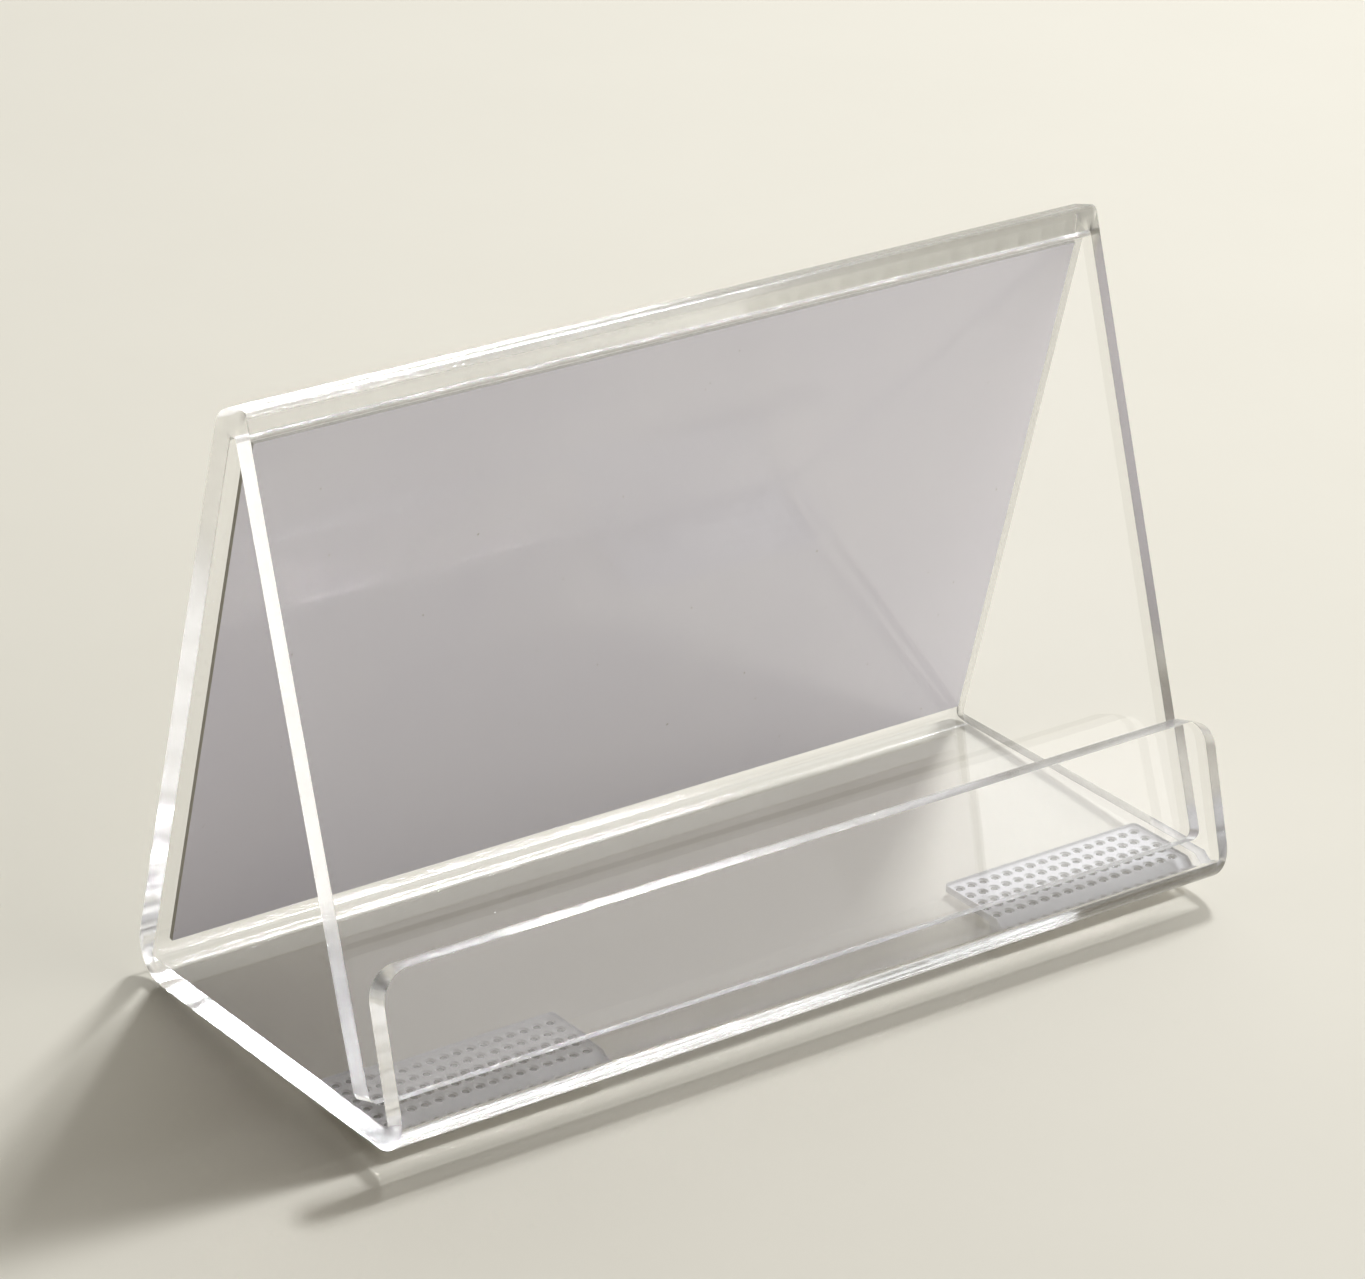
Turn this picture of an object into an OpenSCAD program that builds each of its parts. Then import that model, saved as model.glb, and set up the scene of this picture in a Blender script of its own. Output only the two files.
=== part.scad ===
// Desk sign holder: one clear acrylic sheet folded into an A-frame with a
// front lip, a sign sheet stuck inside its back panel, and two bumpy rubber
// feet stuck under its front corners. It stands on the feet and on the rear
// bend, so the front sits a little higher than the back.

/* [Acrylic sheet] */
// Thickness of the acrylic sheet
sheet_t = 2.5; // [2:0.5:4]
// Length of every fold, which is the width of the holder
sheet_w = 94; // [80:1:140]
// Lean of the back panel towards the front, in degrees from the base's normal
back_lean = 14; // [8:0.5:20]
// Lean of the sloped front panel, in degrees from the base's normal
front_lean = 18.5; // [12:0.5:24]
// Lean of the lip towards the front panel, in degrees from the base's normal
lip_lean = 15.5; // [6:0.5:20]
// Flat length of the lip above its bend
lip_flat = 13.8; // [8:0.1:20]
// Radius of the lip's two upper corners
lip_corner_r = 3; // [1:0.1:5]
// Radius of the two corners at the foot of the front panel
panel_corner_r = 1; // [0.5:0.1:3]
// Clear gap for a card between the lip and the foot of the front panel
card_slot = 2.4; // [1.5:0.1:4]
// Height of the front panel's foot above the base
foot_gap = 0.2; // [0.2:0.1:1.5]

/* [Bends] */
// Inner radius of the bend between base and back panel
rear_bend_r = 0.3; // [0.2:0.1:1]
// Outer radius of the same bend, where the sheet is drawn thinner
rear_outer_r = 3.5; // [2.5:0.1:4]
// Inner radius of the tight bend at the top
apex_bend_r = 0.5; // [0.2:0.1:1]
// Inner radius of the bend between base and lip
front_bend_r = 0.3; // [0.2:0.1:1]
// Outer radius of the same bend
front_outer_r = 3.8; // [2.5:0.1:4]
// Angle at which the outside of the top bend runs on flat to the front, from the base towards the back
ridge_angle = 74; // [60:1:90]
// Radius of the tight outer corner at the front of the top bend
ridge_corner_r = 0.6; // [0.3:0.1:1.5]

/* [Sign] */
// Height of the sign sheet
sign_h = 55; // [45:1:70]
// Thickness of the sign sheet
sign_t = 0.5; // [0.3:0.1:1]
// Clear margin at each side of the sign sheet
sign_side_margin = 1.5; // [1:0.1:5]
// Clear margin below the sign sheet, from the rear bend
sign_low_margin = 1.3; // [0.2:0.1:2]
// Clear margin above the sign sheet, to the top bend
sign_top_margin = 0.4; // [0.2:0.1:4]
// Thickness of the clear adhesive film behind the sign sheet
sign_film_t = 0.1; // [0.05:0.05:0.2]
// Inset of that film from the edges of the sign sheet
sign_film_inset = 0.6; // [0.2:0.1:3]

/* [Rubber feet] */
// Length of a foot along the front edge
pad_w = 23.6; // [16:0.1:30]
// Depth of a foot
pad_d = 10.4; // [6:0.1:12]
// Thickness of a foot without its bumps
pad_t = 0.6; // [0.5:0.1:2]
// Corner radius of a foot
pad_corner_r = 1; // [0.5:0.1:2]
// Distance of a foot from the end of the holder
pad_end_inset = 0.9; // [0.5:0.1:5]
// Distance of a foot from the start of the front bend's inner side
pad_front_inset = 1.4; // [1.4:0.1:4]
// Bumps along a foot
bump_columns = 16; // [8:1:20]
// Bumps across a foot
bump_rows = 6; // [3:1:8]
// Height of a bump in the middle of a foot, where it meets the desk
bump_h = 0.7; // [0.5:0.05:0.8]
// Radius of a bump where it leaves the foot
bump_r = 0.5; // [0.3:0.05:0.55]
// Thickness of the clear adhesive film above a foot
pad_film_t = 0.1; // [0.05:0.05:0.2]

/* [Hidden] */
$fn = 64;

acrylic_color = [0.88, 0.92, 0.93, 0.35];
sign_color = [0.66, 0.64, 0.66];
film_color = [0.95, 0.95, 0.92, 0.5];
rubber_color = [0.93, 0.93, 0.92, 0.7];

// Outer radii that even bends would have
rear_R = sheet_t + rear_bend_r;
apex_R = sheet_t + apex_bend_r;
front_R = sheet_t + front_bend_r;

// The side view is drawn in the base's frame, as [forward or back, up], with its
// origin at the rear end of the flat underside. A face's angle is that of its outward normal.
base_angle = -90;
back_angle = back_lean;
front_angle = 180 - front_lean;
lip_angle = 180 - lip_lean;
bend_steps = 24;

// Flat length of the back panel, which is as long as the sign needs
back_flat = sign_low_margin + sign_h + sign_top_margin;

// Centres of the rear bend and of the bend at the top
rear_c = [0, rear_R];
apex_c = rear_c + (rear_R - apex_R) * toward(back_angle) + back_flat * toward(back_angle + 90);

// The front panel starts below the ridge's corner, and reaches down until its lower rear
// edge clears the base by foot_gap
front_start = apex_c + apex_R * toward(front_angle);
front_flat = (front_start[1] - sheet_t * (1 + sin(front_lean)) - foot_gap) / cos(front_lean);
front_foot = front_start + front_flat * toward(front_angle + 90);

// The base reaches forward until the lip leaves card_slot in front of that foot
base_flat = (card_slot - front_bend_r + (front_foot[1] - front_R) * sin(lip_lean)) / cos(lip_lean)
    - front_foot[0];
front_c = [-base_flat, front_R];
lip_top = front_c + front_R * toward(lip_angle) + lip_flat * toward(lip_angle - 90);

// Centres of the outer sides of the bends
rear_outer_c = outer_centre(rear_c, rear_R, rear_outer_r, base_angle, back_angle);
ridge_c = outer_centre(apex_c, apex_R, ridge_corner_r, ridge_angle, front_angle);
front_outer_c = outer_centre(front_c, front_R, front_outer_r, lip_angle, base_angle + 360);

// Sign sheet and the film that holds it
sign_w = sheet_w - 2 * sign_side_margin;

// Feet: how far they lie from the rear bend, and the tilt that they give the holder
pad_back_y = base_flat - pad_front_inset - pad_d;
pad_x = sheet_w / 2 - pad_end_inset - pad_w / 2;
tilt = asin((pad_film_t + pad_t + bump_h) / (pad_back_y + pad_d / 2 + rear_outer_c[0]));
bump_tip_r = 0.6 * bump_r;
bump_reach = bump_h + pad_d * sin(tilt);
bump_root = pad_t / 2;
bump_pitch_x = pad_w / bump_columns;
bump_pitch_y = pad_d / bump_rows;

// Middle of the standing holder, in front of the centre of the rear bend's outer side
front_bend_y = (rear_outer_c[0] - front_outer_c[0]) * cos(tilt)
    - (front_outer_r - rear_outer_r) * sin(tilt);
middle_y = (front_bend_y + front_outer_r - rear_outer_r) / 2;

// Larger than the holder in every direction
room = 2 * (sheet_w + sign_h);

// Puts the base's frame, whose origin is the rear end of its flat underside,
// into the standing frame: tilted by the feet, on the desk, and centred
module standing() {
    translate([0, middle_y, rear_outer_r])
        rotate([-tilt, 0, 0])
            translate([0, -rear_outer_c[0], -rear_outer_r])
                children();
}

// A unit vector at an angle
function toward(angle) = [cos(angle), sin(angle)];

// The points of one side of a bend, from one face's angle to the next face's
function bend_side(centre, r, from, to) =
    [for (i = [0 : bend_steps]) centre + r * toward(from + (to - from) * i / bend_steps)];

// The centre of a bend's outer side when its radius is r instead of the even bend's R
function outer_centre(centre, R, r, from, to) =
    centre + (R - r) / cos((to - from) / 2) * toward((from + to) / 2);

// The sheet seen from the side: down the outside from the lip to the front panel's foot,
// and back along the inside
module side_view() {
    polygon(concat(
        [lip_top],
        bend_side(front_outer_c, front_outer_r, lip_angle, base_angle + 360),
        bend_side(rear_outer_c, rear_outer_r, base_angle, back_angle),
        bend_side(apex_c, apex_R, back_angle, ridge_angle),
        bend_side(ridge_c, ridge_corner_r, ridge_angle, front_angle),
        [front_foot, front_foot - sheet_t * toward(front_angle)],
        bend_side(apex_c, apex_bend_r, front_angle, back_angle),
        bend_side(rear_c, rear_bend_r, back_angle, base_angle),
        bend_side(front_c, front_bend_r, base_angle + 360, lip_angle),
        [lip_top - sheet_t * toward(lip_angle)]
    ));
}

// What is cut away to round the two corners of a free edge, at a point of its outer
// face from which the sheet runs back along -Y once turned by the angle turn
module edge_corners(edge, turn, corner_r) {
    reach = sheet_t + 0.1;
    translate([0, edge[0], edge[1]])
        rotate([turn, 0, 0])
            for (side = [0, 1])
                mirror([side, 0, 0])
                    translate([sheet_w / 2 - corner_r, -corner_r, -reach])
                        difference() {
                            cube([corner_r + 1, corner_r + 0.05, 2 * reach]);
                            cylinder(h = 2 * reach, r = corner_r);
                        }
}

// Moves its children onto the back panel, at the panel's lower end, with +Y up the
// panel and its outer face at z = 0
module on_back_panel() {
    standing()
        translate([0, rear_c[0], rear_c[1]])
            rotate([back_angle + 90, 0, 0])
                translate([0, 0, -rear_R])
                    children();
}

// A thin sheet on the inner face of the back panel
module inner_sheet(height_above_panel, thickness, inset) {
    on_back_panel()
        translate([inset - sign_w / 2, sign_low_margin + inset, sheet_t + height_above_panel])
            cube([sign_w - 2 * inset, sign_h - 2 * inset, thickness]);
}

// The outline of a foot, centred on it
module pad_outline() {
    square([pad_w - 2 * pad_corner_r, pad_d], center = true);
    square([pad_w, pad_d - 2 * pad_corner_r], center = true);
    for (sx = [-1, 1], sy = [-1, 1])
        translate([sx * (pad_w / 2 - pad_corner_r), sy * (pad_d / 2 - pad_corner_r)]) circle(pad_corner_r);
}

// Moves its children to the middle of a foot, on the underside of the base
module under_base(side) {
    standing() translate([side * pad_x, -pad_back_y - pad_d / 2, 0]) children();
}

// A rubber foot with its bumps, which are pressed flat where they meet the desk
module rubber_foot(side) {
    intersection() {
        under_base(side) {
            translate([0, 0, -pad_film_t - pad_t]) linear_extrude(pad_t) pad_outline();
            for (column = [0 : bump_columns - 1], row = [0 : bump_rows - 1])
                translate([
                    (column + 0.5) * bump_pitch_x - pad_w / 2,
                    (row + 0.5) * bump_pitch_y - pad_d / 2,
                    -pad_film_t - pad_t - bump_reach
                ])
                    cylinder(h = bump_reach + bump_root, r1 = bump_tip_r, r2 = bump_r);
        }
        translate([-room / 2, -room / 2, 0]) cube(room);
    }
}

// The clear adhesive film between a foot and the base
module foot_adhesive(side) {
    under_base(side) translate([0, 0, -pad_film_t]) linear_extrude(pad_film_t) pad_outline();
}

module acrylic_body() {
    color(acrylic_color) standing()
        difference() {
            rotate([90, 0, 90]) linear_extrude(sheet_w, center = true) side_view();
            edge_corners(lip_top, lip_angle - 90, lip_corner_r);
            edge_corners(front_foot, front_angle + 90, panel_corner_r);
        }
}

module sign_sheet() {
    color(sign_color) inner_sheet(sign_film_t, sign_t, 0);
}

module sign_adhesive() {
    color(film_color) inner_sheet(0, sign_film_t, sign_film_inset);
}

module left_rubber_foot() {
    color(rubber_color) rubber_foot(-1);
}

module left_foot_adhesive() {
    color(film_color) foot_adhesive(-1);
}

module right_rubber_foot() {
    color(rubber_color) rubber_foot(1);
}

module right_foot_adhesive() {
    color(film_color) foot_adhesive(1);
}

acrylic_body();
sign_sheet();
sign_adhesive();
left_rubber_foot();
left_foot_adhesive();
right_rubber_foot();
right_foot_adhesive();
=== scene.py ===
# %% [markdown]
# # A sign holder folded from one sheet of acrylic
# The holder is a single clear sheet, cut by laser and folded three times along hot lines: a low lip,
# a base, a back panel and a sloped front panel. A grey card is stuck inside the back panel, and two
# bumpy clear feet lift the front. Clear things are judged by what shines through them, so the shape of
# every edge and bend matters more here than any colour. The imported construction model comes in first,
# as the frame that every piece has to fit.

# %% Load the frame
import math

import bmesh
import bpy
from mathutils import Matrix, Vector


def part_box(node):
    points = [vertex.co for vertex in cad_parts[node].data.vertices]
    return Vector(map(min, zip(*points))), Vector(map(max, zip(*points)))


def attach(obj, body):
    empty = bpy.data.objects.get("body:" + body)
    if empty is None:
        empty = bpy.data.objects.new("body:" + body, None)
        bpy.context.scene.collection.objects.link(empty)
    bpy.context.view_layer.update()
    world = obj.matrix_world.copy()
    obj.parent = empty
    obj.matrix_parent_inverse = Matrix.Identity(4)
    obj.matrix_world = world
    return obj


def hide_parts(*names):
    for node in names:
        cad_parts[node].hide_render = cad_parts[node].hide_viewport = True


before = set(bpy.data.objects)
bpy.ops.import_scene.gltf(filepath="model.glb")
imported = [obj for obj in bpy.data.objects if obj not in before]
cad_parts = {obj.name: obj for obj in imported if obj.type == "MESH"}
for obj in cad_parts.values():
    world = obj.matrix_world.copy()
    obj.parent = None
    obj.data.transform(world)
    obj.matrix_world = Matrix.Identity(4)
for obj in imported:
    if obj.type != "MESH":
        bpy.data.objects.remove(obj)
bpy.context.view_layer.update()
MM = 0.001
print("frame:", sorted(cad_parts))

# %% [markdown]
# ## The side view
# Everything follows from the side view of the folded sheet, so it is worked out once, from the sizes
# that a maker would choose: the sheet's thickness, the lean of each panel and the radius of each bend.
# The alternative is to measure the frame's meshes, but then a change of one size could not be followed
# through. The feet lift the front, which tilts the whole holder back by a few degrees.
#
# A hot-folded bend is not even. The inner side closes up to a crease, while the outer side is stretched
# to a wider curve and the sheet gets thinner there. So each bend has an inner and an outer radius.

# %% Sizes of the sheet
body_low, body_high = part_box("acrylic_body")
sheet_w = body_high.x - body_low.x
sheet_t = 2.5 * MM
lip_lean, back_lean, front_lean = (math.radians(angle) for angle in (15.5, 14, 18.5))
lip_flat = 13.8 * MM
back_flat = 56.7 * MM
front_bend_r, rear_bend_r, top_bend_r = 0.3 * MM, 0.3 * MM, 0.5 * MM
ridge_angle, ridge_corner_r = math.radians(74), 0.6 * MM
front_outer_r, rear_outer_r = 3.8 * MM, 3.5 * MM
card_slot = 2.4 * MM
foot_gap = 0.2 * MM
lip_corner_r, panel_corner_r = 3 * MM, 1 * MM
print("sheet in mm:", round(sheet_w / MM, 2), "wide", round(sheet_t / MM, 2), "thick")

# %% Sizes of the feet
pad_w, pad_d, pad_t = 23.6 * MM, 10.4 * MM, 0.6 * MM
pad_film_t = 0.1 * MM
pad_end_inset, pad_front_inset = 0.9 * MM, 1.4 * MM
bump_h = 0.7 * MM
stand_off = pad_film_t + pad_t + bump_h
print("the feet lift the front by", round(stand_off / MM, 2), "mm")


# %% Work out the folds
def toward(angle):
    """A unit vector in the side view, at an angle from +Y towards +Z."""
    return Vector((0, math.cos(angle), math.sin(angle)))


def base_frame_folds():
    """Flat lengths of base and front panel, found as if the base lay flat on the desk."""
    rear_centre = Vector((0, 0, rear_bend_r + sheet_t))
    top_centre = (rear_centre + (rear_bend_r - top_bend_r) * toward(back_lean)
                  + back_flat * toward(back_lean + math.pi / 2))
    front_out = toward(math.pi - front_lean)
    front_start = top_centre + (top_bend_r + sheet_t) * front_out
    drop = front_start.z - sheet_t * (1 + math.sin(front_lean)) - foot_gap
    front_flat = drop / math.cos(front_lean)
    panel_foot = front_start + front_flat * toward(1.5 * math.pi - front_lean)
    rise = panel_foot.z - front_bend_r - sheet_t
    reach = (card_slot - front_bend_r + rise * math.sin(lip_lean)) / math.cos(lip_lean)
    return reach - panel_foot.y, front_flat


def slack(outer_r, inner_r, angle):
    """How much further the outer side of a bend reaches along each flat than an even bend would."""
    return (outer_r - inner_r - sheet_t) * math.tan(angle / 2)


base_flat, front_flat = base_frame_folds()
front_slack = slack(front_outer_r, front_bend_r, math.pi / 2 + lip_lean)
rear_slack = slack(rear_outer_r, rear_bend_r, math.pi / 2 + back_lean)
pad_back = base_flat - pad_front_inset - pad_d
tilt = math.asin(stand_off / (pad_back + pad_d / 2 - rear_slack))
span = (base_flat - rear_slack - front_slack) * math.cos(tilt)
span -= (front_outer_r - rear_outer_r) * math.sin(tilt)
middle = (span + front_outer_r - rear_outer_r) / 2
base_heading = -tilt
base_up = toward(base_heading + math.pi / 2)
rear_contact = Vector((0, middle, rear_outer_r)) - rear_outer_r * base_up
base_end = rear_contact + rear_slack * toward(base_heading)
rear_centre = base_end + (rear_bend_r + sheet_t) * base_up
base_start = base_end - base_flat * toward(base_heading)
front_centre = base_start + (front_bend_r + sheet_t) * base_up
lip_heading = base_heading - math.pi / 2 - lip_lean
lip_end = front_centre - (front_bend_r + sheet_t) * toward(lip_heading + math.pi / 2)
lip_top = lip_end - lip_flat * toward(lip_heading)
back_heading = base_heading + math.pi / 2 + back_lean
print("tilt", round(math.degrees(tilt), 3), "base", round(base_flat / MM, 2),
      "front", round(front_flat / MM, 2))

# %% [markdown]
# ## The camera
# The photograph was taken from above the lip, off to the holder's left, with a long lens. A camera can be
# placed by eye, or by a fit of the known edges to the picture. The fit gave these angles and this distance.
# The camera is aimed by its own three axes, because it is rolled a little as well.

# %% Camera
view_azimuth, view_elevation, view_roll = (math.radians(angle) for angle in (38.03, 26.61, 3.49))
view_distance = 502.6 * MM
view_target = Vector((0, 0, 28 * MM))
view_slide = Vector((-2.38 * MM, 2.59 * MM))
view_lens = 145.9

away = Vector((-math.sin(view_azimuth) * math.cos(view_elevation),
               -math.cos(view_azimuth) * math.cos(view_elevation),
               math.sin(view_elevation)))
level_right = Vector((math.cos(view_azimuth), -math.sin(view_azimuth), 0))
level_up = away.cross(level_right)
right = math.cos(view_roll) * level_right + math.sin(view_roll) * level_up
up = math.cos(view_roll) * level_up - math.sin(view_roll) * level_right
place = view_target + away * view_distance + right * view_slide.x + up * view_slide.y

bpy.ops.object.select_all(action="DESELECT")
bpy.ops.object.camera_add()
camera = bpy.context.object
camera.matrix_world = Matrix.Translation(place) @ Matrix((right, up, away)).transposed().to_4x4()
camera.data.lens = view_lens
camera.data.sensor_width = 36
camera.data.clip_start = 0.01
bpy.context.scene.camera = camera
bpy.context.scene.view_settings.view_transform = "Standard"
print("camera at", [round(x / MM, 1) for x in place])

# %% [markdown]
# ## Nodes as sums
# A material is a small sum of textures, and a sum is easier to read as Python than as a list of nodes and
# links. This class wraps one socket. Arithmetic on it adds Math nodes, and the method node adds any other
# kind: its settings are set first, then its inputs are given values or wires.


# %% A socket that can be added and multiplied
class Wire:
    """One output socket in a node tree."""

    def __init__(self, tree, socket=None):
        self.tree = tree
        self.socket = socket

    def node(self, kind, settings=None, sockets=None, output=0):
        """Adds a node and returns one of its outputs."""
        made = self.tree.nodes.new(kind)
        for name, value in (settings or {}).items():
            setattr(made, name, value)
        for name, value in (sockets or {}).items():
            if isinstance(value, Wire):
                self.tree.links.new(value.socket, made.inputs[name])
            else:
                made.inputs[name].default_value = value
        return Wire(self.tree, made.outputs[output])

    def sum(self, operation, first, second):
        """Adds a Math node."""
        return self.node("ShaderNodeMath", {"operation": operation}, {0: first, 1: second})

    def __add__(self, other):
        return self.sum("ADD", self, other)

    def __radd__(self, other):
        return self.sum("ADD", other, self)

    def __rsub__(self, other):
        return self.sum("SUBTRACT", other, self)

    def __mul__(self, other):
        return self.sum("MULTIPLY", self, other)

    def __rmul__(self, other):
        return self.sum("MULTIPLY", other, self)

    def noise(self, place, scale, detail=2.0, roughness=0.5):
        """Soft random patches from 0 to 1, scale of them to the unit."""
        return self.node("ShaderNodeTexNoise", None,
                         {"Vector": place, "Scale": scale, "Detail": detail, "Roughness": roughness})

    def step(self, value, low, high):
        """0 below low, 1 above high, and a smooth climb between them."""
        return self.node("ShaderNodeMapRange", {"interpolation_type": "SMOOTHSTEP"},
                         {"Value": value, "From Min": low, "From Max": high})

    def tint(self, share, first, second):
        """A colour that goes from first to second. Sockets 6, 7 and 2 are the Mix node's colours."""
        return self.node("ShaderNodeMix", {"data_type": "RGBA"}, {"Factor": share, 6: first, 7: second}, 2)

    def stretch(self, place, scale):
        """The same place with each axis scaled on its own."""
        return self.node("ShaderNodeMapping", None, {"Vector": place, "Scale": scale})

    def bump(self, height, distance, strength):
        """A normal that tips as a surface of this height would."""
        return self.node("ShaderNodeBump", None,
                         {"Height": height, "Distance": distance, "Strength": strength})


def new_material(name, constants):
    """A material with its Principled shader, and the wires to build on."""
    material = bpy.data.materials.new(name)
    material.use_nodes = True
    tree = material.node_tree
    shader = tree.nodes["Principled BSDF"]
    for socket, value in constants.items():
        shader.inputs[socket].default_value = value
    return material, Wire(tree), shader


def connect(shader, **wires):
    """Links wires to the shader's inputs, with _ for a space in their names."""
    for name, wire in wires.items():
        wire.tree.links.new(wire.socket, shader.inputs[name.replace("_", " ")])


def let_light_through(material, wire, shader, share, tint):
    """Lets lamp light and light from matt surfaces go straight through, less of it where it grazes."""
    tree = material.node_tree
    first_held, all_held = 0.65, 1.0
    is_shadow = wire.node("ShaderNodeLightPath", output="Is Shadow Ray")
    is_diffuse = wire.node("ShaderNodeLightPath", output="Is Diffuse Ray")
    rim = wire.node("ShaderNodeLayerWeight", None, {"Blend": 0.5}, "Facing")
    through = wire.sum("MAXIMUM", is_shadow, is_diffuse) * share * (1 - wire.step(rim, first_held, all_held))
    see_through = wire.node("ShaderNodeBsdfTransparent", None, {"Color": tint})
    mixed = wire.node("ShaderNodeMixShader", None,
                      {0: through, 1: Wire(tree, shader.outputs[0]), 2: see_through})
    tree.links.new(mixed.socket, tree.nodes["Material Output"].inputs["Surface"])


def own_place(wire):
    """Where a point is on its own object, which is where it is in the frame."""
    return wire.node("ShaderNodeTexCoord", output="Object")


print("node helpers ready")

# %% [markdown]
# ## Floor and light
# The holder stands on a pale table. The key lamp is high, behind it and to the right, and throws the card's
# shadow forward over the base and out to the left. A wide, weak fill from low on the right reaches under
# the front panel to the card, which faces away from the key. Clear plastic shows only what is around it: a
# plain white world would leave it with no edges at all, so the world glows on the light's side, like a bright
# window, and falls off to a dim room on the camera's side. The table is plain, with faint clouds so that it
# isn't dead flat.
#
# The fill is hidden from mirror rays. A real softbox there would lie as a pale veil on the front panel and
# the lip, and a photographer would turn it or use a filter to lose that. The key is a touch cool and the room
# a touch warm, so that shadows look warmer than what is lit.

# %% Floor
bpy.ops.object.select_all(action="DESELECT")
bpy.ops.mesh.primitive_plane_add(size=6)
floor = bpy.context.object
floor.name = "floor"
floor_material, floor_wire, floor_shader = new_material(
    "pale_table", {"Roughness": 0.6, "Specular IOR Level": 0.3})
floor_clouds = floor_wire.noise(own_place(floor_wire), scale=30, detail=4, roughness=0.6)
table_colour = floor_wire.tint(floor_clouds, (0.815, 0.78, 0.675, 1), (0.845, 0.81, 0.705, 1))
connect(floor_shader, Base_Color=table_colour)
floor.data.materials.append(floor_material)
print("floor", [round(x, 2) for x in floor.dimensions], "m")


# %% Lamps
def softbox(name, direction, size, strength, colour):
    """A square area lamp that faces the holder from this direction."""
    bpy.ops.object.light_add(type="AREA")
    lamp = bpy.context.object
    lamp.name = name
    facing = Vector(direction).normalized()
    lamp.location = view_target + facing * lamp_distance
    lamp.rotation_euler = facing.to_track_quat("Z", "Y").to_euler()
    lamp.data.size = size
    lamp.data.energy = strength
    lamp.data.color = colour
    return lamp


lamp_distance = 0.9
key_direction, key_size, key_watts = (0.5, 0.25, 0.83), 0.12, 5.15
fill_direction, fill_size, fill_watts = (0.72, -0.6, 0.2), 1.1, 6.0
softbox("key_softbox", key_direction, key_size, key_watts, (0.98, 1.0, 1.04))
fill = softbox("fill_softbox", fill_direction, fill_size, fill_watts, (1.0, 0.99, 0.99))
fill.visible_glossy = False

# %% World
world = bpy.data.worlds.new("studio")
bpy.context.scene.world = world
world.use_nodes = True
sky = Wire(world.node_tree)
direction = sky.node("ShaderNodeTexCoord", output="Generated")
backdrop_direction = Vector((0.6, 0.7, 0.4)).normalized()
towards_backdrop = sky.node("ShaderNodeVectorMath", {"operation": "DOT_PRODUCT"},
                            {0: direction, 1: backdrop_direction}, "Value")
glow_from, glow_full = 0.6, 0.93
glow = sky.step(towards_backdrop, glow_from, glow_full)
height = sky.node("ShaderNodeSeparateXYZ", None, {"Vector": direction}, "Z")
wall_top, ceiling_start = 0.1, 0.6
low_sky = 1 - sky.step(height, wall_top, ceiling_start)
dim_ceiling, dim_wall = (0.085, 0.074, 0.055, 1), (0.17, 0.15, 0.115, 1)
bright_window = (1.0, 1.0, 0.98, 1)
room = sky.tint(low_sky, dim_ceiling, dim_wall)
world_colour = sky.tint(glow, room, bright_window)
background = world.node_tree.nodes["Background"]
world.node_tree.links.new(world_colour.socket, background.inputs["Color"])
print("world", world.name, "glows towards", [round(x, 2) for x in backdrop_direction])

# %% [markdown]
# ## Clear plastic in Cycles
# Light runs along a clear sheet by bouncing off its faces from inside and leaves at the cut ends, which is
# why those ends shine. The renderer has to follow such a ray for many bounces before it gives up.
#
# The light that a clear body throws on the table is harder. Focused light, a caustic, is slow and leaves
# bright specks, so it is switched off. In its place, lamp rays and the rays that leave matt surfaces go
# straight through the clear finishes, and are held back only where they graze a face. That leaves the thin
# dark lines under edges and bends that a clear sheet really throws.

# %% Enough bounces for a light guide
guide_bounces = 40
cycles = bpy.context.scene.cycles
cycles.max_bounces = guide_bounces
cycles.glossy_bounces = guide_bounces
cycles.transmission_bounces = guide_bounces
cycles.transparent_max_bounces = 16
cycles.sample_clamp_indirect = 0
cycles.blur_glossy = 0
cycles.caustics_reflective = False
cycles.caustics_refractive = False
print("bounces", cycles.max_bounces)

# %% [markdown]
# ## Acrylic finishes
# The sheet has three finishes. Its faces are as the sheet was cast, glossy and nearly flat. Where it was
# heated to fold it there is a faint ripple and a trace of haze, and the inner side of the tight bend at the
# top is dull, with a darker tint there that is painted shade, to dim the glint it would catch. Its edges were
# cut by laser, which leaves fine lines through the thickness and a slightly frosted gloss. The foot of the
# front panel is plain sawn, and tinted dark with painted shade so that it hardly shows against the base.
#
# These patterns have to follow the sheet round its bends. Plain object coordinates would cut across a bend,
# so the finishes read an attribute, sheet, that holds where each point lay before the sheet was folded:
# across, along, and in depth.


# %% Where the heat was
front_bend_len = (math.pi / 2 + lip_lean) * (front_bend_r + sheet_t)
rear_bend_len = (math.pi / 2 + back_lean) * (rear_bend_r + sheet_t)
top_bend_len = (math.pi - back_lean - front_lean) * (top_bend_r + sheet_t)
bend_runs = []
run_so_far = 0
for flat, bend in ((lip_flat, front_bend_len), (base_flat, rear_bend_len), (back_flat, top_bend_len)):
    bend_runs.append((run_so_far + flat, run_so_far + flat + bend))
    run_so_far += flat + bend
heat_spread = 1.0 * MM
crease_blur = 0.2 * MM
crease_from, crease_full = 0.6 * sheet_t, 0.9 * sheet_t
print("bends run from and to, in mm:", [[round(x / MM, 1) for x in ends] for ends in bend_runs])


# %% Acrylic finishes
acrylic_ior = 1.49
heat_haze, crease_haze = 0.09, 0.7
clear, crease_painted_shade = (1, 1, 1, 1), (0.4, 0.39, 0.36, 1)


def unfolded(wire):
    """Where a point of the acrylic lay on the flat sheet, in metres."""
    return wire.node("ShaderNodeAttribute", {"attribute_name": "sheet"}, output="Vector")


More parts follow.
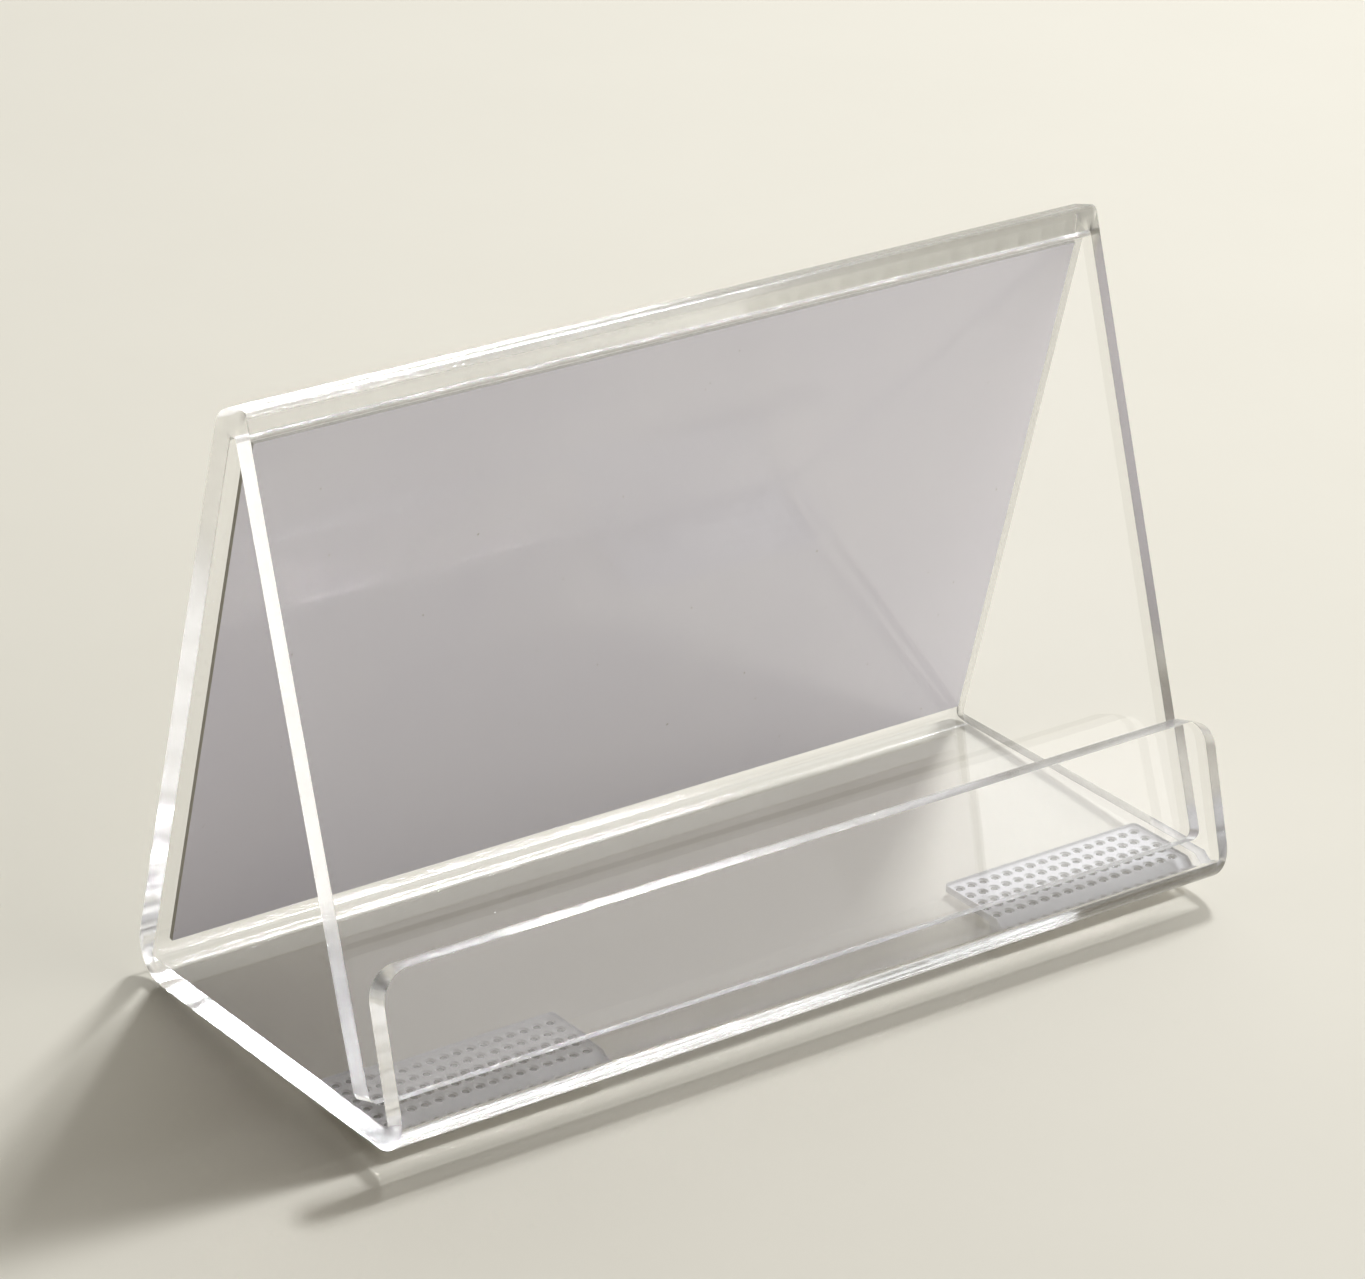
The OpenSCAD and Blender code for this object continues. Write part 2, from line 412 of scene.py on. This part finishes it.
def polished_acrylic():
    """Glossy cast faces, a heat ripple at the bends, and a dull crease in the top bend tinted dark as painted
    shade.
    """
    material, wire, shader = new_material("polished_acrylic", {
        "Transmission Weight": 1.0, "IOR": acrylic_ior})
    place = unfolded(wire)
    run = wire.node("ShaderNodeSeparateXYZ", None, {"Vector": place}, "Y")
    depth = wire.node("ShaderNodeSeparateXYZ", None, {"Vector": place}, "Z")
    heated = 0
    for low, high in bend_runs:
        cooled = wire.step(run, high, high + heat_spread)
        heated = heated + wire.step(run, low - heat_spread, low) * (1 - cooled)
    top_low, top_high = bend_runs[-1]
    after_start = wire.step(run, top_low - crease_blur, top_low + crease_blur)
    after_end = wire.step(run, top_high - crease_blur, top_high + crease_blur)
    crease = wire.step(depth, crease_from, crease_full) * after_start * (1 - after_end)
    ripple = wire.noise(wire.stretch(place, (260, 900, 300)), scale=1, detail=3, roughness=0.6)
    cast = wire.noise(place, scale=60, detail=1)
    unevenness = 0.002 * ripple * heated + 0.08 * cast
    connect(shader, Normal=wire.bump(unevenness, distance=0.05 * MM, strength=0.5))
    connect(shader, Roughness=crease_haze * crease + heat_haze * heated)
    # The crease's darker tint is painted shade, which dims the glint that the crease catches.
    connect(shader, Base_Color=wire.tint(crease, clear, crease_painted_shade))
    let_light_through(material, wire, shader, share=1.0, tint=(0.965, 0.968, 0.965, 1))
    return material


def cut_acrylic():
    """Laser-cut edges: fine lines through the thickness and a slightly frosted, cloudy gloss."""
    material, wire, shader = new_material("cut_acrylic", {
        "Base Color": clear, "Transmission Weight": 1.0, "IOR": acrylic_ior})
    lines = wire.noise(wire.stretch(unfolded(wire), (1, 1, 0.25)), scale=1600)
    clouds = wire.noise(unfolded(wire), scale=420, detail=3, roughness=0.6)
    connect(shader, Normal=wire.bump(lines, distance=0.0004 * MM, strength=0.5))
    connect(shader, Roughness=0.18 + 0.06 * wire.step(clouds, 0.45, 0.7))
    let_light_through(material, wire, shader, share=0.4, tint=(0.95, 0.95, 0.95, 1))
    return material


def sawn_acrylic_painted_shade():
    """A dull edge with saw marks, tinted dark as painted shade that matches the shade round it."""
    material, wire, shader = new_material("sawn_acrylic_painted_shade", {
        "Transmission Weight": 0.88, "IOR": acrylic_ior})
    marks = wire.noise(wire.stretch(unfolded(wire), (900, 1, 250)), scale=1)
    # The dark tint is painted shade, set to match the shade round the panel's foot; the saw marks are real.
    connect(shader, Base_Color=wire.tint(marks, (0.13, 0.127, 0.124, 1), (0.17, 0.167, 0.164, 1)))
    connect(shader, Roughness=0.5 + 0.2 * marks)
    let_light_through(material, wire, shader, share=0.8, tint=(0.9, 0.9, 0.9, 1))
    return material


acrylic_finishes = [polished_acrylic(), cut_acrylic(), sawn_acrylic_painted_shade()]
print("finishes", [finish.name for finish in acrylic_finishes])

# %% [markdown]
# ## Card finishes
# The card is smooth on the side that shows: a pale lilac grey, which looks darker because it faces away from
# the key. It is slightly cloudy, with a few specks of dust, and glossy enough to mirror the right foot
# faintly. A clear coat over the grey gives that mirror without making the grey itself shiny. Its other side,
# which lies against the back panel, is plain white paper, and its thin edge shows the fibres in the board.


# %% Card finishes
def grey_face():
    """The glossy, cloudy grey side, with rare specks of dust."""
    material, wire, shader = new_material("grey_card_face", {"Coat Weight": 1.0, "Coat Roughness": 0.03})
    clouds = wire.noise(own_place(wire), scale=70, detail=3, roughness=0.6)
    specks = wire.step(wire.noise(own_place(wire), scale=2600, detail=0), 0.88, 0.9)
    grey = wire.tint(clouds, (0.87, 0.85, 0.97, 1), (0.93, 0.91, 1, 1))
    connect(shader, Base_Color=wire.tint(specks, grey, (0.5, 0.47, 0.46, 1)))
    connect(shader, Roughness=0.06 + 0.08 * clouds)
    return material


def card_edge():
    """The thin edge of the board, with fibres that run along it."""
    material, wire, shader = new_material("card_edge", {"Roughness": 0.7})
    fibres = wire.noise(wire.stretch(own_place(wire), (300, 3000, 3000)), scale=1)
    connect(shader, Base_Color=wire.tint(fibres, (0.66, 0.64, 0.59, 1), (0.56, 0.54, 0.49, 1)))
    return material


def white_face():
    """The plain paper side."""
    material, wire, shader = new_material("white_card_face", {"Roughness": 0.5})
    fibres = wire.noise(own_place(wire), scale=1500, detail=3, roughness=0.6)
    connect(shader, Base_Color=wire.tint(fibres, (0.84, 0.83, 0.81, 1), (0.79, 0.78, 0.76, 1)))
    connect(shader, Normal=wire.bump(fibres, distance=0.01 * MM, strength=0.5))
    return material


card_finishes = [card_edge(), grey_face(), white_face()]
print("finishes", [finish.name for finish in card_finishes])

# %% [markdown]
# ## Rubber and film finishes
# The feet are soft rubber. Their moulded skin is milky, so it turns white where the lamp reaches it and grey
# in the card's shadow. The caps of the bumps are really clear; the darker dots that refraction shows there
# are painted shade, a dark tint on the caps. The top, which is stuck to the base, is clear too. Finishes side
# by side keep that difference. A single half-clear finish would blur the dots away. The adhesive films are so
# clear that they hardly show, which a low alpha gives.


# %% Rubber and film finishes
rubber_ior = 1.45


def milky_rubber():
    """The moulded skin between the bumps and round the pad."""
    material, wire, shader = new_material("milky_rubber", {
        "Transmission Weight": 0.05, "IOR": rubber_ior, "Roughness": 0.25})
    clouds = wire.noise(own_place(wire), scale=400, detail=3, roughness=0.6)
    connect(shader, Base_Color=wire.tint(clouds, (0.95, 0.94, 0.97, 1), (0.99, 0.985, 0.99, 1)))
    let_light_through(material, wire, shader, share=0.5, tint=(0.92, 0.92, 0.92, 1))
    return material


def clear_rubber(name, tint):
    """Clear rubber of this tint, with a little dust."""
    material, wire, shader = new_material(name, {
        "Base Color": tint, "Transmission Weight": 1.0, "IOR": rubber_ior})
    dust = wire.noise(own_place(wire), scale=1200)
    connect(shader, Roughness=0.01 + 0.04 * dust)
    let_light_through(material, wire, shader, share=1.0, tint=(0.95, 0.95, 0.95, 1))
    return material


def clear_film():
    """Adhesive that is almost invisible."""
    material, wire, shader = new_material("clear_film", {
        "Base Color": (0.95, 0.95, 0.93, 1), "Roughness": 0.2})
    clouds = wire.noise(own_place(wire), scale=250)
    connect(shader, Alpha=0.01 + 0.02 * clouds)
    return material


# The caps' dark tint is painted shade: the real caps are clear and look dark only by refraction.
rubber_finishes = [milky_rubber(), clear_rubber("dome_cap_painted_shade", (0.12, 0.115, 0.12, 1)),
                   clear_rubber("rubber_top", (0.97, 0.97, 0.98, 1))]
film = clear_film()
print("finishes", [finish.name for finish in rubber_finishes], film.name)

# %% [markdown]
# ## Helpers for modelling by hand
# Operators act on whatever is selected, so each piece starts with nothing selected, and its faces and edges
# are picked by where they are or which way they face.


# %% Modelling helpers
close_by = 0.01 * MM
edge_round = 0.05 * MM
edge_reach = 1.2 * sheet_t
square_on, roughly_square_on = 0.99, 0.9


def start(name, add, **settings):
    """Adds a primitive with nothing else selected."""
    bpy.ops.object.select_all(action="DESELECT")
    add(**settings)
    piece = bpy.context.object
    piece.name = name
    piece.data.name = name
    return piece


def settle():
    """Puts the active object's place, turn and size into its mesh."""
    bpy.ops.object.transform_apply(location=True, rotation=True, scale=True)


def pick(piece, kind, test):
    """In edit mode, selects only the faces, edges or verts that pass the test."""
    mesh = bmesh.from_edit_mesh(piece.data)
    bpy.ops.mesh.select_all(action="DESELECT")
    bpy.ops.mesh.select_mode(type={"faces": "FACE", "edges": "EDGE", "verts": "VERT"}[kind])
    chosen = [part for part in getattr(mesh, kind) if test(part)]
    for part in chosen:
        part.select_set(True)
    mesh.select_flush_mode()
    bmesh.update_edit_mesh(piece.data)
    return len(chosen)


def edit_mode():
    bpy.ops.object.mode_set(mode="EDIT")


def object_mode():
    bpy.ops.object.mode_set(mode="OBJECT")


def apply(piece, kind, **settings):
    """Adds a modifier with these settings and applies it."""
    modifier = piece.modifiers.new(kind.lower(), kind)
    for name, value in settings.items():
        setattr(modifier, name, value)
    bpy.ops.object.modifier_apply(modifier=modifier.name)


def soften(piece):
    """A fine round on every sharp edge, with the flat faces' normals kept flat."""
    apply(piece, "BEVEL", width=edge_round, segments=2, limit_method="ANGLE", angle_limit=math.radians(30))
    bpy.ops.object.shade_smooth()
    apply(piece, "WEIGHTED_NORMAL", keep_sharp=True, weight=100)


def finish_picked(piece, finish):
    """Gives the picked faces the finish of this name, from the piece's material slots."""
    piece.active_material_index = piece.material_slots.find(finish)
    bpy.ops.object.material_slot_assign()


def hand_over(piece, node):
    """The piece rides with the holder and stands for its construction node."""
    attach(piece, "root")
    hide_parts(node)
    size = [round(x / MM, 2) for x in piece.dimensions]
    print(piece.name, "stands for", node, "faces", len(piece.data.polygons), "size in mm", size)


print("modelling helpers ready")

# %% [markdown]
# ## The folded sheet
# A sheet like this is drawn the way it is folded. It starts as the narrow face at the top of the lip, which
# is extruded down the lip, spun round the front bend, extruded along the base, and so on round to the foot
# of the front panel. A Solidify modifier on a bent surface would do nearly the same, but its rims would
# not be faces of their own, and here the rims carry the cut finish.
#
# Each spin gives an even bend. The outer side is then scaled about the point where its two flats would meet,
# which keeps it tangent to both of them. At the top only the front part is scaled, down to a tight corner.

# %% Fold the sheet
bend_steps = 40
body = start("acrylic_sheet", bpy.ops.mesh.primitive_plane_add, size=1)
body.scale = (sheet_w, sheet_t, 1)
body.rotation_euler = (lip_heading + math.pi / 2, 0, 0)
body.location = lip_top + sheet_t / 2 * toward(lip_heading + math.pi / 2)
settle()
edit_mode()
bpy.ops.mesh.select_all(action="SELECT")
stretches = []


def fold(at, heading, length, angle, inner_r):
    """Runs the sheet on for a length, then folds it by an angle. Returns where it got to and its heading."""
    stretches.append(("flat", at, heading, length, 0))
    bpy.ops.mesh.extrude_region_move(TRANSFORM_OT_translate={"value": length * toward(heading)})
    at = at + length * toward(heading)
    if angle:
        centre = at + (inner_r + sheet_t) * toward(heading + math.pi / 2)
        stretches.append(("bend", centre, heading, angle, inner_r))
        bpy.ops.mesh.spin(steps=bend_steps, angle=angle, center=centre, axis=(-1, 0, 0))
        heading += angle
        at = centre - (inner_r + sheet_t) * toward(heading + math.pi / 2)
    return at, heading


at, heading = fold(lip_top, lip_heading, lip_flat, math.pi / 2 + lip_lean, front_bend_r)
at, heading = fold(at, heading, base_flat, math.pi / 2 + back_lean, rear_bend_r)
at, heading = fold(at, heading, back_flat, math.pi - back_lean - front_lean, top_bend_r)
panel_foot, panel_heading = fold(at, heading, front_flat, 0, 0)
print("the sheet ends at", [round(x / MM, 2) for x in panel_foot])


# %% Set the outer side of each bend
# Where the bends are in the list of stretches.
front_bend, rear_bend, top_bend = 1, 3, 5
spoke_margin = 0.005


def press(bend, outer_r, first_angle=0):
    """Gives the outer side of a bend its own radius, from an angle after the bend's start to its end."""
    centre, facing, angle, inner_r = stretches[bend][1:]
    even_r = inner_r + sheet_t
    half = (angle - first_angle) / 2
    middle_spoke = toward(facing - math.pi / 2 + first_angle + half)
    tip = centre + even_r / math.cos(half) * middle_spoke

    def on_outer_side(vertex):
        spoke = Vector((0, vertex.co.y - centre.y, vertex.co.z - centre.z))
        return (abs(spoke.length - even_r) < close_by
                and spoke.normalized().dot(middle_spoke) > math.cos(half) - spoke_margin)

    moved = pick(body, "verts", on_outer_side)
    bpy.ops.transform.resize(value=(1, outer_r / even_r, outer_r / even_r), center_override=tip)
    return moved


ridge_start = ridge_angle - back_lean
print("verts moved:", press(front_bend, front_outer_r), press(rear_bend, rear_outer_r),
      press(top_bend, ridge_corner_r, ridge_start))


# %% Round the free corners
def corner_test(edge_place, direction):
    """Picks the edges through the thickness at the two ends of a free edge."""
    def test(edge):
        ends = [vertex.co for vertex in edge.verts]
        return (all(abs((end - edge_place).dot(direction)) < close_by for end in ends)
                and all((end - edge_place).yz.length < edge_reach for end in ends)
                and abs(ends[0].x - ends[1].x) < close_by)
    return test


corners = pick(body, "edges", corner_test(lip_top, toward(lip_heading)))
bpy.ops.mesh.bevel(offset=lip_corner_r, segments=12, affect="EDGES")
corners += pick(body, "edges", corner_test(panel_foot, toward(panel_heading)))
bpy.ops.mesh.bevel(offset=panel_corner_r, segments=6, affect="EDGES")
bpy.ops.mesh.select_all(action="SELECT")
bpy.ops.mesh.remove_doubles(threshold=0.001 * MM)
bpy.ops.mesh.normals_make_consistent(inside=False)
print("rounded corners:", corners)

# %% Give the cut edges their own finish
for finish in acrylic_finishes:
    body.data.materials.append(finish)


def is_cut(face):
    """A face of the rim looks across the holder, or along the sheet at a free edge."""
    sideways = abs(face.normal.x) > 0.01
    on_lip = face.calc_center_median().z > lip_end.z and face.normal.dot(-toward(lip_heading)) > square_on
    return sideways or on_lip


def is_panel_foot(face):
    """The narrow face at the foot of the front panel, which hardly shows on the real holder."""
    near = (face.calc_center_median() - panel_foot).yz.length < edge_reach
    return near and face.normal.dot(toward(panel_heading)) > square_on


cut_faces = pick(body, "faces", is_cut)
finish_picked(body, "cut_acrylic")
# The sawn foot's dark finish is painted shade that hides it against the base.
sawn_faces = pick(body, "faces", is_panel_foot)
finish_picked(body, "sawn_acrylic_painted_shade")
object_mode()
soften(body)
print("cut faces:", cut_faces, "sawn faces:", sawn_faces)


# %% Remember the flat sheet
def unfold(point):
    """Where a point lay on the flat sheet: along it from the lip's top, and in from its outer face."""
    run = 0
    best = None
    for kind, start_at, facing, amount, inner_r in stretches:
        if kind == "flat":
            along = (point - start_at).dot(toward(facing))
            deep = (point - start_at).dot(toward(facing + math.pi / 2))
            length = amount
        else:
            spoke = Vector((0, point.y - start_at.y, point.z - start_at.z))
            turn = math.atan2(spoke.dot(toward(facing)), -spoke.dot(toward(facing + math.pi / 2)))
            length = amount * (inner_r + sheet_t)
            along = turn * (inner_r + sheet_t)
            deep = inner_r + sheet_t - spoke.length
        miss = max(0, -along, along - length, -deep, deep - sheet_t)
        if best is None or miss < best[0]:
            best = (miss, run + along, deep)
        run += length
    return best[1], best[2]


sheet = body.data.attributes.new("sheet", "FLOAT_VECTOR", "POINT")
for vertex, value in zip(body.data.vertices, sheet.data):
    along, deep = unfold(vertex.co)
    value.vector = (vertex.co.x, along, deep)
hand_over(body, "acrylic_body")

# %% [markdown]
# ## The card
# A thin card is stuck to the inner side of the back panel. It could be a plane, but its edge shows as a pale
# line all round, so it is a plane that is turned onto the panel and extruded by its thickness. A clear film
# of adhesive lies between the two. A hair's breadth of air is left on both sides of the film, because two
# faces in the same place would flicker.

# %% Card
sign_low, sign_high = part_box("sign_sheet")
sign_w = sign_high.x - sign_low.x
sign_h, sign_t = 55 * MM, 0.5 * MM
sign_low_margin = 1.3 * MM
sign_film_t = 0.1 * MM
film_clearance = 0.01 * MM
back_in = toward(back_heading + math.pi / 2)
back_start = rear_centre - rear_bend_r * back_in


def on_back_panel(name, width, height, thickness, depth, low):
    """A thin sheet on the inner face of the back panel, depth above it."""
    piece = start(name, bpy.ops.mesh.primitive_plane_add, size=1)
    piece.scale = (width, height, 1)
    piece.rotation_euler = (back_heading, 0, 0)
    piece.location = back_start + (low + height / 2) * toward(back_heading) + depth * back_in
    settle()
    edit_mode()
    bpy.ops.mesh.select_all(action="SELECT")
    bpy.ops.mesh.extrude_region_move(TRANSFORM_OT_translate={"value": thickness * back_in})
    bpy.ops.mesh.select_all(action="SELECT")
    bpy.ops.mesh.normals_make_consistent(inside=False)
    return piece


card = on_back_panel("grey_card", sign_w, sign_h, sign_t, sign_film_t, sign_low_margin)
for finish in card_finishes:
    card.data.materials.append(finish)
pick(card, "faces", lambda face: face.normal.dot(back_in) > roughly_square_on)
finish_picked(card, "grey_card_face")
pick(card, "faces", lambda face: face.normal.dot(back_in) < -roughly_square_on)
finish_picked(card, "white_card_face")
object_mode()
soften(card)
hand_over(card, "sign_sheet")

# %% Film behind the card
film_inset = 0.6 * MM
card_film = on_back_panel("card_film", sign_w - 2 * film_inset, sign_h - 2 * film_inset,
                          sign_film_t - 2 * film_clearance, film_clearance, sign_low_margin + film_inset)
object_mode()
card_film.data.materials.append(film)
hand_over(card_film, "sign_adhesive")

# %% [markdown]
# ## The feet
# Each foot is a moulded rubber pad with six rows of sixteen small domes, which grip the table. The domes are
# part of the pad's skin, so one square with one dome is modelled and repeated with two Array modifiers whose
# corners merge. Domes pushed into a slab would do for an opaque pad, but through clear rubber their hidden
# ends would show. The rim of that sheet is then pulled out and up to form the pad's sides and top.
#
# The pad is drawn up a hair into the base, through its adhesive film. Rubber stuck to acrylic leaves no air
# between them, and without air the light passes on. With a gap the base would mirror and hide the pad.

# %% Sizes of the bumps
sides = (("left", -1), ("right", 1))
pad_x = sheet_w / 2 - pad_end_inset - pad_w / 2
pad_r = 1.0 * MM
pad_rim = 0.3 * MM
pad_sink = 0.02 * MM
bump_columns, bump_rows = 16, 6
bump_sides = 12
bump_r = 0.56 * MM
bump_pitch_x = (pad_w - 2 * pad_rim) / bump_columns
bump_pitch_y = (pad_d - 2 * pad_rim) / bump_rows
dome_steps = [(0.05 * MM, 0.2 * MM), (0.145 * MM, 0.16 * MM), (0.185 * MM, 0.09 * MM)]
dome_cap_z = -0.32 * MM
print("bumps", bump_columns, "x", bump_rows, "on a grid of",
      round(bump_pitch_x / MM, 2), "x", round(bump_pitch_y / MM, 2), "mm")


# %% One bump, and a sheet of them
def on_cell_rim(place):
    """True for a place on the outline of the square, half a pitch from its middle."""
    almost_half = 0.49
    return max(abs(place.x) / bump_pitch_x, abs(place.y) / bump_pitch_y) > almost_half


def edge_middle(edge):
    return (edge.verts[0].co + edge.verts[1].co) / 2


def dome_cell(name):
    """One square of the pad's underside, seen from above, with a round dome that hangs from its middle."""
    cell = start(name, bpy.ops.mesh.primitive_plane_add, size=1)
    cell.scale = (bump_pitch_x, bump_pitch_y, 1)
    settle()
    edit_mode()
    bpy.ops.mesh.subdivide(number_cuts=2)
    pick(cell, "faces", lambda face: True)
    bpy.ops.mesh.delete(type="ONLY_FACE")
    pick(cell, "edges", lambda edge: not on_cell_rim(edge_middle(edge)))
    bpy.ops.mesh.delete(type="EDGE")
    pick(cell, "verts", lambda vertex: not on_cell_rim(vertex.co))
    bpy.ops.mesh.delete(type="VERT")
    bpy.ops.mesh.primitive_circle_add(vertices=bump_sides, radius=bump_r, fill_type="NGON",
                                      rotation=(0, 0, math.pi / bump_sides))
    pick(cell, "edges", lambda edge: True)
    bpy.ops.mesh.bridge_edge_loops()
    pick(cell, "faces", lambda face: len(face.verts) == bump_sides)
    for inward, down in dome_steps:
        bpy.ops.mesh.inset(thickness=inward, depth=-down)
    object_mode()
    return cell


def dome_sheet(name):
    """Rows and columns of domes, with the middle of the sheet at the origin. Stays in edit mode."""
    pad = dome_cell(name)
    for count, step in ((bump_columns, (bump_pitch_x, 0, 0)), (bump_rows, (0, bump_pitch_y, 0))):
        apply(pad, "ARRAY", count=count, use_relative_offset=False, use_constant_offset=True,
              constant_offset_displace=step, use_merge_vertices=True, merge_threshold=close_by)
    edit_mode()
    bpy.ops.mesh.select_all(action="SELECT")
    to_middle = ((1 - bump_columns) / 2 * bump_pitch_x, (1 - bump_rows) / 2 * bump_pitch_y, 0)
    bpy.ops.transform.translate(value=to_middle)
    return pad


print("one bump has", bump_sides, "sides and", len(dome_steps), "rings")


# %% Feet
def under_base(side, depth):
    """The turn and place that put a piece under the base, depth below it, at one front corner."""
    spot = base_end - (pad_back + pad_d / 2) * toward(base_heading)
    spot = spot - depth * toward(base_heading + math.pi / 2)
    return Matrix.Translation((side * pad_x, spot.y, spot.z)) @ Matrix.Rotation(base_heading, 4, "X")


def is_pad_corner(edge):
    """True for the four upright edges of the pad."""
    first, second = (vertex.co for vertex in edge.verts)
    return (abs(abs(first.x) - pad_w / 2) < close_by and abs(abs(first.y) - pad_d / 2) < close_by
            and abs(first.z - second.z) > pad_t / 2)


def foot(name, side):
    """A pad whose underside is a sheet of domes, stuck under one front corner."""
    pad = dome_sheet(name)
    pick(pad, "edges", lambda edge: edge.is_boundary)
    bpy.ops.mesh.extrude_region_move()
    bpy.ops.transform.resize(value=(pad_w / (pad_w - 2 * pad_rim), pad_d / (pad_d - 2 * pad_rim), 1),
                             center_override=(0, 0, 0))
    bpy.ops.mesh.extrude_region_move(TRANSFORM_OT_translate={"value": (0, 0, pad_t + pad_film_t + pad_sink)})
    bpy.ops.mesh.edge_face_add()
    pick(pad, "edges", is_pad_corner)
    bpy.ops.mesh.bevel(offset=pad_r, segments=6, affect="EDGES")
    bpy.ops.mesh.select_all(action="SELECT")
    bpy.ops.mesh.normals_make_consistent(inside=False)
    for finish in rubber_finishes:
        pad.data.materials.append(finish)
    # The caps get the dark tint that paints their shade.
    pick(pad, "faces", lambda face: face.calc_center_median().z < dome_cap_z)
    finish_picked(pad, "dome_cap_painted_shade")
    pick(pad, "faces", lambda face: face.normal.z > roughly_square_on)
    finish_picked(pad, "rubber_top")
    object_mode()
    pad.matrix_world = under_base(side, pad_film_t + pad_t)
    settle()
    print("lowest bump in mm:", round(min(vertex.co.z for vertex in pad.data.vertices) / MM, 3))
    bpy.ops.object.shade_smooth_by_angle(angle=math.radians(40))
    return pad


for word, side in sides:
    hand_over(foot(f"{word}_foot", side), f"{word}_rubber_foot")


# %% Film above the feet
def foot_film(name, side):
    """The clear adhesive between a foot and the base."""
    piece = start(name, bpy.ops.mesh.primitive_plane_add, size=1)
    piece.scale = (pad_w, pad_d, 1)
    settle()
    edit_mode()
    bpy.ops.mesh.select_all(action="SELECT")
    bpy.ops.mesh.bevel(offset=pad_r, segments=5, affect="VERTICES")
    bpy.ops.mesh.select_all(action="SELECT")
    bpy.ops.mesh.extrude_region_move(
        TRANSFORM_OT_translate={"value": (0, 0, pad_film_t - 2 * film_clearance)})
    bpy.ops.mesh.select_all(action="SELECT")
    bpy.ops.mesh.normals_make_consistent(inside=False)
    object_mode()
    piece.matrix_world = under_base(side, pad_film_t - film_clearance)
    settle()
    piece.data.materials.append(film)
    return piece


for word, side in sides:
    hand_over(foot_film(f"{word}_foot_film", side), f"{word}_foot_adhesive")
